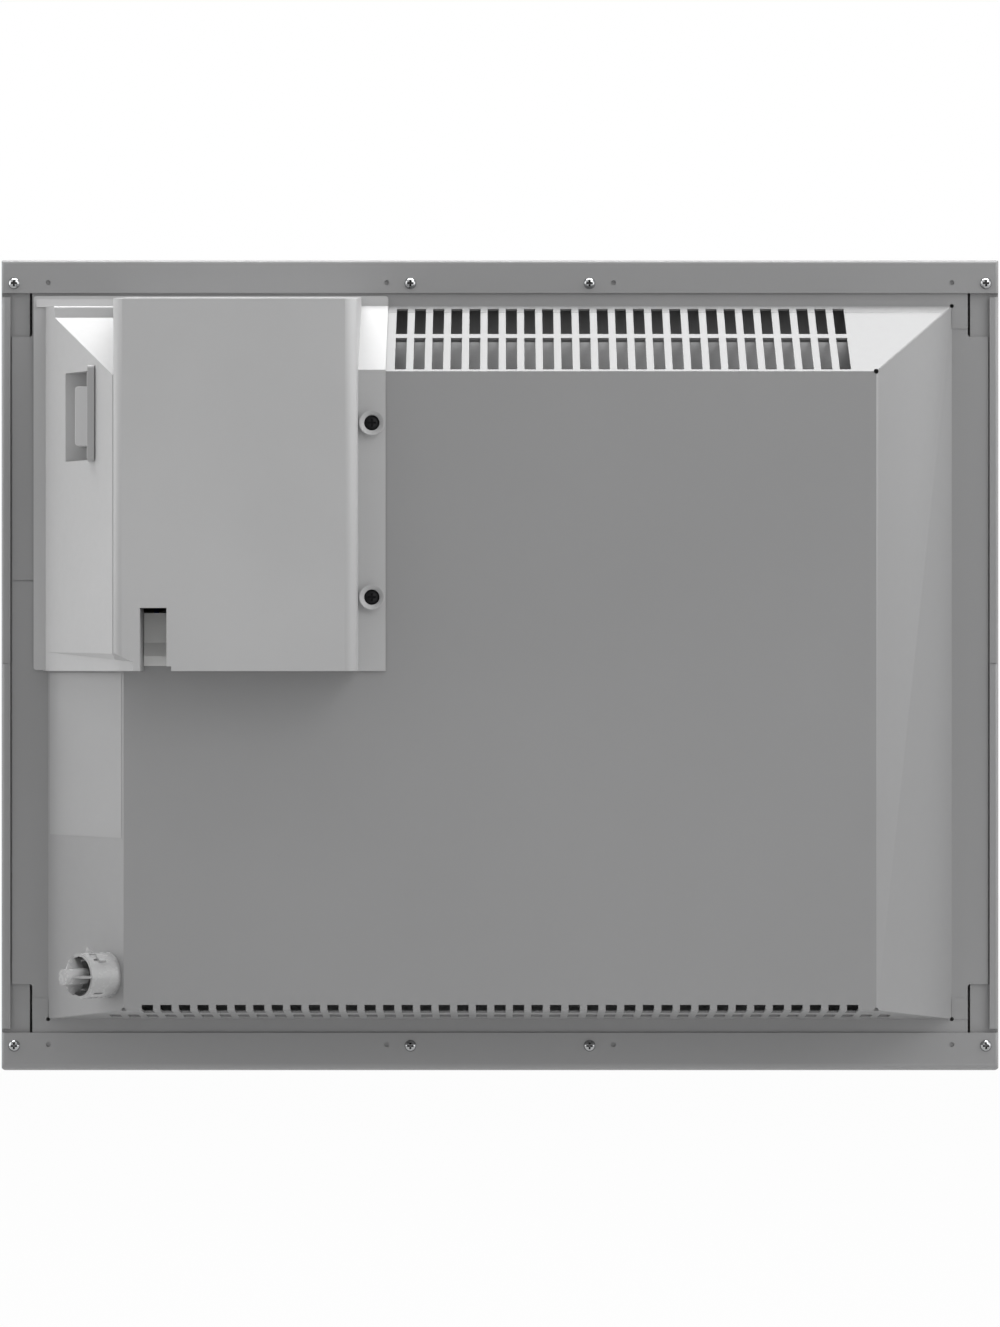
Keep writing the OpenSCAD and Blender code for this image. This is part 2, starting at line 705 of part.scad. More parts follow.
module pocket_walls() {
    intersection() {
        span([pocket_in_x, slope_foot], [pocket_floor - 2, far],
            [switch_mid_z - pocket_h / 2 - 2, switch_mid_z + pocket_h / 2 + 2]);
        along_z(-half_h, half_h) polygon([[pocket_in_x, flange_top], [slope_foot, flange_top],
            [slope_x(far), far], [slope_x(far), flange_top]]);
    }
    along_x(pocket_in_x, pocket_wall_x) panel2d([pocket_floor - 2, rib_y],
        [switch_mid_z - pocket_h / 2 - rib_over[0], switch_mid_z + pocket_h / 2 + rib_over[1]],
        [0, rib_r, rib_r, 0]);
}
module control_box_cover() {
    color(PLASTIC) placed() difference() {
        union() {
            difference() {
                box_outer();
                box_cavity();
                tray_form(seat, flange_y - 6);
            }
            pocket_walls();
        }
        skirt_cut();
        span([pocket_wall_x, far], [pocket_floor, far],
            [switch_mid_z - pocket_h / 2, switch_mid_z + pocket_h / 2]);
        span([pocket_in_x - eps, pocket_wall_x + eps],
            [switch_mid_y - neck_w / 2 - seat, switch_mid_y + neck_w / 2 + seat],
            [switch_mid_z - neck_len / 2 - seat, switch_mid_z + neck_len / 2 + seat]);
        span([notch_right, notch_left], [flange_y, far], [-half_h, notch_up]);
        span([notch_right - 2, notch_left], [flange_y, far], [-half_h, box_low + 1.6]);
        span([notch_right - wall - eps, notch_right + eps], [flange_y, notch_floor_y + seat],
            [box_low + 2.2 - seat, box_low + 6 + seat]);
        for (z = strip_screws_z) {
            bar_y(strip_x, z, strip_hole_r, strip_floor_y, far);
            bar_y(strip_x, z, strip_bore_r, tray_y - 1, far);
        }
        span([-half_w, half_w], [-far, flange_y], [-half_h, half_h]);
    }
}

// Screws that hold the control box, deep in the holes of its strip
module box_screws() {
    color(BLACK) placed() for (z = strip_screws_z)
        translate([strip_x, strip_floor_y, z]) rotate([-90, 0, 0])
            pan_screw(strip_screw[0], strip_screw[1], strip_screw[2], strip_screw[3]);
}

// Inner plate of the control box, with posts for the board and the cord saddle
module control_box_base() {
    color(PLASTIC) placed() difference() {
        union() {
            span([block_right + wall + seat, block_left - wall - seat], [base_y, base_y + base_t],
                [notch_up + 4, back_up - 4]);
            span([block_right + wall + seat, notch_right - wall - seat], [base_y, base_y + base_t],
                [block_low + wall + seat, notch_up + 4 + eps]);
            for (p = board_posts()) bar_y(p[0], p[1], post_r, base_y, board_y);
            for (sx = [-1, 1]) bar_y(notch_mid + sx * clamp_half, clamp_z, 2.8, base_y, clamp_y);
            cord_saddle();
        }
        for (p = board_posts()) bar_y(p[0], p[1], 1.15, base_y + base_t, board_y + eps);
        for (sx = [-1, 1]) bar_y(notch_mid + sx * clamp_half, clamp_z, 1.25, base_y + base_t, far);
        span([wire_window[0] + 1, wire_window[1] - 1], [base_y - eps, base_y + base_t + eps],
            base_hole_z);
    }
}
module cord_saddle() {
    along_x(notch_right + seat, notch_left - seat) polygon([[base_y, box_low + 1.8],
        [saddle_y, box_low + 1.8], [saddle_y, box_low + 6], [notch_floor_y, box_low + 11.8],
        [notch_floor_y, notch_up - 1.9], [base_y, notch_up - 1.9]]);
    span([notch_right - wall - seat - 3, notch_right + seat + eps], [base_y, notch_floor_y],
        [box_low + 2.2, box_low + 6]);
}
function board_posts() = [for (x = [board_x[0] + post_in, board_x[1] - post_in],
    z = [board_z[0] + post_in, board_z[1] - post_in]) [x, z]];

// Board and what is soldered to it
module control_board() {
    color(BOARD) placed() difference() {
        span(board_x, [board_y, board_face], board_z);
        for (p = board_posts()) bar_y(p[0], p[1], 1.5, board_y - eps, board_face + eps);
    }
}
module board_screws() {
    color(STEEL) placed() for (p = board_posts())
        translate([p[0], board_face, p[1]]) rotate([-90, 0, 0]) pan_screw(2.3, 1.4, 1.05, 5);
}
module power_relay() { color("#2B4E8C") placed() on_board(relay_x, relay_z, part_h); }
module power_module() { color("#20242A") placed() on_board(module_x, module_z, part_h); }
module film_capacitor() { color("#C9A227") placed() on_board(film_x, film_z, part_h); }
module on_board(x, z, h) { span(x, [board_face, board_face + h], z); }
module smoothing_capacitor() {
    color("#30343C") placed() translate([can_x, board_face + can_r, can_z[0]])
        cylinder(r = can_r, h = can_z[1] - can_z[0]);
}
module fuse() {
    color("#D8D8D4") placed() {
        for (z = [fuse_z[0], fuse_z[1] - fuse_clip[1]])
            on_board([fuse_x - fuse_clip[0], fuse_x + fuse_clip[0]], [z, z + fuse_clip[1]], fuse_clip[0]);
        translate([fuse_x, board_face + fuse_clip[0] + fuse_r / 2, fuse_z[0]])
            cylinder(r = fuse_r, h = fuse_z[1] - fuse_z[0]);
    }
}
module wireless_module() {
    color("#3A3F45") placed() {
        on_board(radio_x, radio_z, radio_t[0]);
        on_board([radio_x[0] + 1, radio_x[1] - 1], [radio_z[0] + 1, radio_z[1] - 5], radio_t[0] + radio_t[1]);
    }
}

// Terminals where the supply cord and the inner leads meet
module terminal_block() {
    color("#E3E3DD") placed() difference() {
        span(term_x, [base_y + base_t, base_y + base_t + term_h], term_z);
        for (i = [-1:1]) {
            translate([notch_mid + i * term_step, term_y, (term_z[0] + term_z[1]) / 2])
                cylinder(r = 1.6, h = 30, center = true);
            bar_y(notch_mid + i * term_step, (term_z[0] + term_z[1]) / 2, 1.7, term_y + 2.4, far);
        }
    }
}

// Rubber bush and clamp that grip the supply cord
module cord_bush() {
    color(BLACK) placed() difference() {
        translate([notch_mid, 0, 0])
            span([-cord_r - 2, cord_r + 2], [bush_y - cord_r - 1.6, bush_y + cord_r + 1.6],
                bush_z);
        translate([notch_mid, bush_y, notch_up]) cylinder(r = cord_r, h = 60, center = true);
    }
}
module cord_clamp() {
    reach = clamp_half + 3;
    color("#8F9296") placed() difference() {
        union() {
            translate([notch_mid, 0, clamp_z]) {
                span([-reach, -cord_r - 2 - seat], [clamp_y, clamp_y + clamp_t], [-3.5, 3.5]);
                span([cord_r + 2 + seat, reach], [clamp_y, clamp_y + clamp_t], [-3.5, 3.5]);
                span([-cord_r - 3.4, cord_r + 3.4], [bush_y + cord_r + 1.6, bush_y + cord_r + 2.8],
                    [-3.5, 3.5]);
                for (sx = [0, 1]) mirror([sx, 0, 0])
                    span([cord_r + 2 + seat, cord_r + 3.4], [clamp_y, bush_y + cord_r + 2.8], [-3.5, 3.5]);
            }
        }
        for (sx = [-1, 1]) bar_y(notch_mid + sx * clamp_half, clamp_z, 1.5, clamp_y - eps, clamp_y + 2);
    }
}
module clamp_screws() {
    color(STEEL) placed() for (sx = [-1, 1])
        translate([notch_mid + sx * clamp_half, clamp_y + clamp_t, clamp_z]) rotate([-90, 0, 0])
            pan_screw(2.2, 1.4, 1.15, 5.6);
}

// Rocker switch: frame and body, rocker, terminals
module switch_housing() {
    body_w2 = neck_w + 3.6;
    body_x = [pivot_x - 10, pocket_in_x - seat];
    color("#2A2A2C") placed() difference() {
        union() {
            along_x(pocket_wall_x, pocket_wall_x + frame_t)
                panel2d([pocket_floor + seat, switch_mid_y + neck_w / 2 + frame_more],
                    [switch_mid_z - pocket_h / 2 + seat, switch_mid_z + pocket_h / 2 - seat],
                    [0, frame_r, frame_r, 0]);
            span([body_x[1] - eps, pocket_wall_x + 0.2],
                [switch_mid_y - neck_w / 2, switch_mid_y + neck_w / 2],
                [switch_mid_z - neck_len / 2, switch_mid_z + neck_len / 2]);
            span(body_x, [switch_mid_y - body_w2 / 2, switch_mid_y + body_w2 / 2],
                [switch_mid_z - neck_len / 2, switch_mid_z + neck_len / 2]);
        }
        span([pivot_x - 8.5, far], [switch_mid_y - well_w / 2, switch_mid_y + well_w / 2],
            [switch_mid_z - well_len / 2, switch_mid_z + well_len / 2]);
        bar_y(pivot_x, switch_mid_z, pin_r + pin_play, switch_mid_y - well_w / 2 - 2.1,
            switch_mid_y + well_w / 2 + 2.1);
    }
}
module power_rocker() {
    half = rocker_len / 2;
    color("#EDEDED") placed() {
        translate([0, 0, switch_mid_z])
            along_y(switch_mid_y - rocker_w / 2, switch_mid_y + rocker_w / 2)
                union() {
                    panel2d([pivot_x + 1, rocker_face], [-half, half], [0, 1.4, 1.4, 0]);
                    polygon([[pivot_x - 3, -4], [pivot_x - 3, 4], [pivot_x + 1, half], [pivot_x + 1, -half]]);
                }
        bar_y(pivot_x, switch_mid_z, pin_r, switch_mid_y - well_w / 2 - 1.9,
            switch_mid_y + well_w / 2 + 1.9);
    }
}
module switch_terminals() {
    color("#C9B27A") placed() for (i = [-1:1])
        span([pivot_x - 18, pivot_x - 10], [switch_mid_y - 3.1, switch_mid_y + 3.1],
            [switch_mid_z + i * 9 - 0.4, switch_mid_z + i * 9 + 0.4]);
}

// Cage of the room sensor, square to the side slope
module sensor_cage() {
    color("#D6D6D6") placed() on_side_slope(sensor_y, sensor_mid_z) difference() {
        union() {
            difference() {
                cylinder(r = cage_r, h = cage_len);
                translate([0, 0, 1.6]) cylinder(r = cage_r - cage_t, h = cage_len);
                for (a = [0, 180], b = cage_slots)
                    rotate(a + b) translate([cage_r - 3, -cage_slot[0] / 2, cage_len - 7.5])
                        cube([4, cage_slot[0], cage_slot[1]]);
            }
            translate([0, 0, -3.2]) difference() {
                cylinder(r = neck_r, h = 4);
                translate([0, 0, -eps]) cylinder(r = neck_r - 1.4, h = 3);
            }
            translate([0, 0, cage_len - 3]) cylinder(r = nose_r, h = cage_tip - cage_len + 3);
            for (a = [0, 120, 240]) rotate(a + 90) cage_rib();
            rotate(180) translate([cage_r - 0.3, -0.5, cage_len - 8])
                rotate([90, 0, 0]) translate([0, 0, -1]) linear_extrude(1)
                    polygon([[0, 0], [2.8, 4], [0, 4.6]]);
            rotate(140) translate([cage_r - 0.8, -2, cage_len - 8.2]) cube([1.8, 4, 3.4]);
        }
        translate([0, 0, cage_len - 4]) cylinder(r = 1.9, h = 6);
    }
}
module cage_rib() {
    translate([0, 0.45, 0]) rotate([90, 0, 0]) linear_extrude(0.9)
        polygon([[nose_r - 0.3, cage_len - 3], [cage_r - 0.4, cage_len - 3], [cage_r - 0.4, cage_len + 0.8],
            [cage_r - 2, cage_len + 3], [nose_r - 0.3, cage_tip - 2.4]]);
}
module room_sensor() {
    color("#1E1E20") placed() on_side_slope(sensor_y, sensor_mid_z) {
        translate([0, 0, 1.6]) cylinder(r = 1, h = cage_len - 1);
        translate([0, 0, cage_len - 3.6]) cylinder(r = 1.7, h = 5);
    }
}

// Round lead: a tube swept along a smooth curve through a list of points
function curve_point(p, i, t) =
    let (a = p[max(i - 1, 0)], b = p[i], c = p[i + 1], d = p[min(i + 2, len(p) - 1)])
    0.5 * (2 * b + (c - a) * t + (2 * a - 5 * b + 4 * c - d) * t * t + (3 * b - a - 3 * c + d) * t * t * t);
function curve(p, steps) = concat([for (i = [0:len(p) - 2], k = [0:steps - 1]) curve_point(p, i, k / steps)],
    [p[len(p) - 1]]);
function unit(v) = v / norm(v);
function tangent(c, i) = unit(c[min(i + 1, len(c) - 1)] - c[max(i - 1, 0)]);
function ring(c, i, r, n, up) =
    let (t = tangent(c, i), u = unit(cross(up, t)), v = cross(t, u))
    [for (k = [0:n - 1]) c[i] + r * (cos(360 * k / n) * u + sin(360 * k / n) * v)];
module lead(points, r, up = [0, 1, 0.2]) {
    n = 8;
    c = curve(points, 3);
    m = len(c);
    verts = [for (i = [0:m - 1]) each ring(c, i, r, n, up)];
    sides = [for (i = [0:m - 2], k = [0:n - 1])
        let (a = i * n + k, b = i * n + (k + 1) % n) each [[a, b, b + n], [a, b + n, a + n]]];
    ends = [[for (k = [n - 1:-1:0]) k], [for (k = [0:n - 1]) (m - 1) * n + k]];
    polyhedron(points = verts, faces = concat(sides, ends));
}

// Finned aluminium element on its sheathed rod
module heating_element() {
    bore = rod_r + 0.1;
    fin_step = (element_h - fin_t) / 6;
    color("#A8ABAE") placed() translate([0, element_mid_y, element_mid_z])
        difference() {
            union() {
                bar_x(0, 0, bore + tube_t, -element_len / 2, element_len / 2);
                element_fin([-0.8, 0.8], [-element_h / 2, element_h / 2]);
                for (i = [-3:3])
                    element_fin([-element_d / 2, element_d / 2],
                        [i * fin_step - fin_t / 2, i * fin_step + fin_t / 2]);
            }
            bar_x(0, 0, bore, -element_len, element_len);
        }
}
module element_fin(y, z) { span([-element_len / 2, element_len / 2], y, z); }
module element_rod() {
    color("#77797C") placed() translate([0, element_mid_y, element_mid_z]) {
        bar_x(0, 0, rod_r, -rod_len / 2, rod_len / 2);
        bar_x(0, 0, lead_r, -rod_end, rod_end);
    }
}
module rod_insulators() {
    color("#EDE8DC") placed() translate([0, element_mid_y, element_mid_z])
        for (sx = [0, 1]) mirror([sx, 0, 0]) difference() {
            bar_x(0, 0, rod_r + 1, rod_len / 2, rod_end - 5);
            bar_x(0, 0, lead_r + 0.1, rod_len / 2 - 1, rod_end);
        }
}
module element_bracket() {
    z = [element_mid_z - bracket_h / 2, element_mid_z + bracket_h / 2];
    back = tray_y - sheet;
    color(STEEL) placed() difference() {
        union() {
            span([bracket_x, bracket_x + bracket_t], [element_mid_y - bracket_reach, back], z);
            span([bracket_x, bracket_x + bracket_foot], [back - bracket_t, back], z);
        }
        bar_x(element_mid_y, element_mid_z, rod_r + 0.15, bracket_x - 1, bracket_x + 4);
    }
}
module element_bracket_left() { element_bracket(); }
module element_bracket_right() { mirror([1, 0, 0]) element_bracket(); }

// Steel sheet that keeps the heat off the back of the casing, set forward
// behind the slots so that warm air leaves through them
module heat_shield() {
    back = tray_y - sheet;
    step = [shield_y - shield_set, shield_y];
    color(STEEL) placed() difference() {
        union() {
            span([-shield_half, shield_half], [shield_y, shield_y + shield_t], [shield_low, shield_bend[0]]);
            along_x(-back_half + hood_side, shield_half) polygon([[step[1], shield_bend[0] - 1],
                [step[1] + shield_t, shield_bend[0] - 1], [step[1] + shield_t, shield_bend[0]],
                [step[0] + shield_t, shield_bend[1]], [step[0] + shield_t, shield_up], [step[0], shield_up],
                [step[0], shield_bend[1] - 0.4], [step[1], shield_bend[0] - 0.4]]);
            for (sx = [0, 1]) mirror([sx, 0, 0])
                for (z = [shield_low, shield_bend[0] - shield_foot[1]]) {
                    span([shield_half - shield_t, shield_half], [shield_y, back], [z, z + shield_foot[1]]);
                    span([shield_half, shield_half + shield_foot[0]], [back - shield_t, back],
                        [z, z + shield_foot[1]]);
                }
        }
        for (sx = [-1, 1])
            bar_y(cutout_x + sx * rivet_x, cutout_z, rivet_r + 0.1, shield_y - eps, shield_y + 2);
    }
}
module thermal_cutout() {
    color("#2D2B2A") placed() difference() {
        union() {
            bar_y(cutout_x, cutout_z, cutout_r, shield_y - cutout_h, shield_y);
            span([cutout_x - cutout_tab[0], cutout_x + cutout_tab[0]], [shield_y - cutout_tab[2], shield_y],
                [cutout_z - cutout_tab[1], cutout_z + cutout_tab[1]]);
            for (sx = [-1, 1])
                span([cutout_x + sx * blade[0] - blade[1], cutout_x + sx * blade[0] + blade[1]],
                    [shield_y - cutout_h - blade[3], shield_y - cutout_h],
                    [cutout_z - blade[2], cutout_z + blade[2]]);
        }
        for (sx = [-1, 1])
            bar_y(cutout_x + sx * rivet_x, cutout_z, rivet_r + 0.1, shield_y - 2, shield_y + 1);
    }
}
module cutout_rivets() {
    plate = [shield_y - cutout_tab[2], shield_y + shield_t];
    color(STEEL) placed() for (sx = [-1, 1]) {
        bar_y(cutout_x + sx * rivet_x, cutout_z, rivet_r, plate[0], plate[1]);
        bar_y(cutout_x + sx * rivet_x, cutout_z, rivet_r + 0.9, plate[0] - 1, plate[0]);
        bar_y(cutout_x + sx * rivet_x, cutout_z, rivet_r + 0.9, plate[1], plate[1] + 1);
    }
}

// Inner leads between the element, the cut-out, the casing and the terminals
module live_lead() {
    x = notch_mid + term_step;
    color("#7A4A2A") placed() lead([[rod_end, element_mid_y, element_mid_z],
        [rod_end + lead_swing / 2, element_mid_y, element_mid_z + lead_r],
        [rod_end + lead_swing, element_mid_y, element_mid_z + lead_climb],
        [rod_end + lead_swing / 3, element_mid_y, (element_mid_z + wire_z) / 2],
        [x, shield_y, wire_z], [x, term_y - 4, wire_z], [x, term_y, term_z[1]]], lead_r);
}
module neutral_lead() {
    x = notch_mid;
    y = shield_y - cutout_h - blade[3];
    color("#3C5FA0") placed() lead([[cutout_x + blade[0], y - lead_r, cutout_z],
        [cutout_x + 5 * lead_swing, y - 2, cutout_z + lead_drop],
        [x - 2, y, cutout_z + 5 * lead_swing],
        [x, shield_y, wire_z], [x, term_y - 4, wire_z], [x, term_y, term_z[1]]], lead_r);
}
module link_lead() {
    y = shield_y - cutout_h - blade[3];
    color("#3C5FA0") placed() lead([[-rod_end, element_mid_y, element_mid_z],
        [-rod_end - lead_swing / 2, element_mid_y, element_mid_z + lead_r],
        [-rod_end - lead_swing / 3, element_mid_y + 2, element_mid_z + lead_climb],
        [-rod_end + 2 * lead_swing, element_mid_y + 6, cutout_z + lead_swing],
        [cutout_x - blade[0], y - 2, cutout_z + lead_climb],
        [cutout_x - blade[0], y - lead_r, cutout_z]], lead_r);
}
module earth_lead() {
    x = notch_mid - term_step;
    y = tray_y - sheet;
    color("#6E8B3D") placed() lead([[earth_x + 3.6, y - 1.6, earth_z], [earth_x + 6, y - 1.7, earth_z],
        [earth_x + 14, y - 5, earth_z - 4], [x, shield_y, wire_z], [x, term_y - 4, wire_z],
        [x, term_y, term_z[1]]], lead_r);
}
module earth_screw() {
    color("#C9B27A") placed() {
        translate([earth_x, tray_y - sheet, earth_z]) rotate([90, 0, 0]) cylinder(r = 3.5, h = 3.2);
        bar_y(earth_x, earth_z, 1.9, tray_y - sheet - eps, tray_y);
    }
}
module sensor_lead() {
    x = notch_mid - term_step / 2;
    r = 0.9;
    color("#C8C8C8") placed() lead([[side_x(sensor_y) - 1.2, sensor_y - 1, sensor_mid_z],
        [side_x(sensor_y) - 6, sensor_y - 6, sensor_mid_z + 6], [side_x(sensor_y) - 4, sensor_y - 8, 0],
        [x, shield_y + 2, wire_z - 14], [x, base_y - 1.5, wire_z - 7.5],
        [notch_right - 3, base_y + base_t + 1.3, wire_z - 6.5],
        [board_x[1] - 3, board_y - r, wire_z - 6.5]], r);
}

// Bare rating label on the side slope below the control box
module rating_label() {
    label_w = side_len - 2 * label_side;
    color("#BFBFBF") placed() on_side_slope((flange_y + tray_y) / 2, box_low - label_top - label_h / 2)
        translate([-label_h / 2, -label_w / 2, label_lift]) cube([label_h, label_w, label_t]);
}

front_panel();
rear_casing();
casing_screws();
control_box_cover();
control_box_base();
box_screws();
control_board();
board_screws();
power_relay();
power_module();
film_capacitor();
smoothing_capacitor();
fuse();
wireless_module();
terminal_block();
cord_bush();
cord_clamp();
clamp_screws();
switch_housing();
power_rocker();
switch_terminals();
sensor_cage();
room_sensor();
sensor_lead();
heating_element();
element_rod();
rod_insulators();
element_bracket_left();
element_bracket_right();
heat_shield();
thermal_cutout();
cutout_rivets();
live_lead();
neutral_lead();
link_lead();
earth_lead();
earth_screw();
rating_label();
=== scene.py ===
import json
import math

import bpy
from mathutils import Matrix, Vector

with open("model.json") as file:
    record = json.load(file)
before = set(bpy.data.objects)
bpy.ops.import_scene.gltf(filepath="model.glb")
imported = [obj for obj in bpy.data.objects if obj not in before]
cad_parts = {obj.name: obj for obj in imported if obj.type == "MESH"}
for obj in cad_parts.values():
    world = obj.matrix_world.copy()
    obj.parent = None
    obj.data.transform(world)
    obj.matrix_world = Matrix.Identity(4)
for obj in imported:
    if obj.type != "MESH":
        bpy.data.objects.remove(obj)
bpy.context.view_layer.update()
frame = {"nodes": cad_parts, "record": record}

MM = 0.001
WHITE = (1, 1, 1, 1)
# Colour sockets of a Mix node, which has sockets of every type
MIX_A, MIX_B, MIX_RESULT = 6, 7, 2


# Materials
class Shader:
    """One material with its Principled shader and a few short node helpers."""

    def __init__(self, name, rough, metal=0.0, spec=0.5, coat=0.0, coat_rough=0.1):
        self.mat = bpy.data.materials.new(name)
        self.mat.use_nodes = True
        self.nodes = self.mat.node_tree.nodes
        self.links = self.mat.node_tree.links
        self.bsdf = self.nodes["Principled BSDF"]
        self.set(self.bsdf, "Roughness", rough)
        self.set(self.bsdf, "Metallic", metal)
        self.set(self.bsdf, "Specular IOR Level", spec)
        self.set(self.bsdf, "Coat Weight", coat)
        self.set(self.bsdf, "Coat Roughness", coat_rough)
        self.coords = self.nodes.new("ShaderNodeTexCoord").outputs["Object"]

    def set(self, node, socket, value):
        node.inputs[socket].default_value = value

    def noise(self, scale, detail=2.0, rough=0.5, stretch=(1, 1, 1)):
        mapping = self.nodes.new("ShaderNodeMapping")
        self.set(mapping, "Scale", stretch)
        self.links.new(self.coords, mapping.inputs["Vector"])
        tex = self.nodes.new("ShaderNodeTexNoise")
        self.set(tex, "Scale", scale)
        self.set(tex, "Detail", detail)
        self.set(tex, "Roughness", rough)
        self.links.new(mapping.outputs["Vector"], tex.inputs["Vector"])
        return tex.outputs["Fac"]

    def cells(self, scale):
        tex = self.nodes.new("ShaderNodeTexVoronoi")
        self.set(tex, "Scale", scale)
        self.links.new(self.coords, tex.inputs["Vector"])
        return tex.outputs["Distance"]

    def recess_shade_mask(self, reach):
        """Ambient occlusion, near 0 deep in a recess that is narrower than the reach and 1 in the open,
        used to paint shade into a colour.
        """
        open_sky = self.nodes.new("ShaderNodeAmbientOcclusion")
        open_sky.samples = 8
        self.set(open_sky, "Distance", reach)
        return open_sky.outputs["AO"]

    def spread(self, fac, low, high, start=0.3, end=0.7):
        """Number from low to high, while the value runs from start to end."""
        node = self.nodes.new("ShaderNodeMapRange")
        for socket, value in (("From Min", start), ("From Max", end), ("To Min", low), ("To Max", high)):
            self.set(node, socket, value)
        self.links.new(fac, node.inputs["Value"])
        return node.outputs["Result"]

    def blend(self, fac, low, high, start=0.35, end=0.65):
        """Colour from low to high, while the value runs from start to end."""
        ramp = self.nodes.new("ShaderNodeValToRGB")
        for element, place, colour in zip(ramp.color_ramp.elements, (start, end), (low, high)):
            element.position = place
            element.color = (*colour, 1)
        self.links.new(fac, ramp.inputs["Fac"])
        return ramp.outputs["Color"]

    def paint_shade(self, fac, colour, dark=0.01):
        """The colour where the value is 1, falling to near black where it is 0, as painted shade."""
        mix = self.nodes.new("ShaderNodeMix")
        mix.data_type = "RGBA"
        self.links.new(fac, mix.inputs["Factor"])
        self.set(mix, MIX_A, (dark, dark, dark, 1))
        self.links.new(colour, mix.inputs[MIX_B])
        return mix.outputs[MIX_RESULT]

    def bump(self, height, depth, below=None):
        node = self.nodes.new("ShaderNodeBump")
        self.set(node, "Distance", depth)
        self.set(node, "Strength", 1.0)
        self.links.new(height, node.inputs["Height"])
        if below is not None:
            self.links.new(below, node.inputs["Normal"])
        return node.outputs["Normal"]

    def feed(self, output, socket):
        self.links.new(output, self.bsdf.inputs[socket])


def shade(colour, factor):
    """The colour made lighter or darker, within 0 and 1."""
    return tuple(max(0.0, min(1.0, v * factor)) for v in colour)


def painted(name, colour, grain=1500, depth=0.02 * MM, rough=0.42):
    """Powder-coated sheet: a very fine pebbled skin over faint large ripples."""
    s = Shader(name, rough)
    tone = s.noise(scale=9, detail=3)
    s.feed(s.blend(tone, shade(colour, 0.985), shade(colour, 1.015)), "Base Color")
    s.feed(s.spread(s.noise(scale=220, detail=3), rough - 0.04, rough + 0.05), "Roughness")
    ripple = s.bump(s.noise(scale=90, detail=1), depth=0.012 * MM)
    s.feed(s.bump(s.noise(grain, detail=2), depth, below=ripple), "Normal")
    return s.mat


def moulded(name, colour, grain=2600, depth=0.012 * MM, rough=0.48, spec=0.5, vary=0.02):
    """Moulded plastic: fine spark-eroded grain with slight changes of tone."""
    s = Shader(name, rough, spec=spec)
    tone = s.noise(scale=14, detail=3)
    s.feed(s.blend(tone, shade(colour, 1 - vary), shade(colour, 1 + vary)), "Base Color")
    s.feed(s.spread(s.noise(scale=300, detail=2), rough - 0.05, rough + 0.05), "Roughness")
    s.feed(s.bump(s.noise(grain, detail=3, rough=0.6), depth), "Normal")
    return s.mat


def metal(name, colour, rough=0.25, stretch=(1, 1, 1), scale=600, depth=0.006 * MM, stain=0.08):
    """Bare or plated metal with rolled or drawn marks and faint stains."""
    s = Shader(name, rough, metal=1.0)
    tone = s.noise(scale=40, detail=4)
    s.feed(s.blend(tone, shade(colour, 1 - stain), shade(colour, 1 + stain)), "Base Color")
    marks = s.noise(scale, detail=4, rough=0.6, stretch=stretch)
    s.feed(s.spread(marks, max(rough - 0.08, 0.03), rough + 0.12), "Roughness")
    s.feed(s.bump(marks, depth), "Normal")
    return s.mat


def chrome(name, colour, shade_reach):
    """Bright plated steel with painted shade, its base colour falling dark in recesses."""
    s = Shader(name, rough=0.14, metal=1.0)
    # Painted shade: ambient occlusion darkens the base colour deep in the recesses
    depth = s.spread(s.recess_shade_mask(shade_reach), low=0, high=1, start=0.5, end=0.8)
    stain = s.blend(s.noise(scale=900, detail=3), shade(colour, 0.85), shade(colour, 1.1))
    s.feed(s.paint_shade(depth, stain), "Base Color")
    s.feed(s.spread(s.noise(scale=700, detail=3), low=0.1, high=0.24), "Roughness")
    s.feed(s.bump(s.noise(scale=500, detail=2), depth=0.05 * MM), "Normal")
    return s.mat


def rubber(name, colour):
    """Black rubber with a dusty tone and a pored skin."""
    s = Shader(name, rough=0.72, spec=0.35)
    tone = s.noise(scale=60, detail=4)
    s.feed(s.blend(tone, shade(colour, 0.8), shade(colour, 1.25)), "Base Color")
    s.feed(s.bump(s.cells(scale=2200), depth=0.02 * MM), "Normal")
    return s.mat


def board(name, colour):
    """Lacquered circuit board with a faint weave and copper areas under the lacquer."""
    s = Shader(name, rough=0.32, coat=0.4, coat_rough=0.18)
    copper = s.cells(scale=140)
    tone = s.blend(copper, shade(colour, 0.75), shade(colour, 1.35), start=0.25, end=0.3)
    s.feed(tone, "Base Color")
    s.feed(s.bump(s.noise(scale=1800, detail=1), depth=0.01 * MM), "Normal")
    return s.mat


def ceramic(name, colour):
    """Glazed ceramic with faint clouds."""
    s = Shader(name, rough=0.35)
    tone = s.noise(scale=150, detail=5, rough=0.7)
    s.feed(s.blend(tone, shade(colour, 0.93), shade(colour, 1.04)), "Base Color")
    s.feed(s.bump(s.noise(scale=900, detail=3), depth=0.015 * MM), "Normal")
    return s.mat


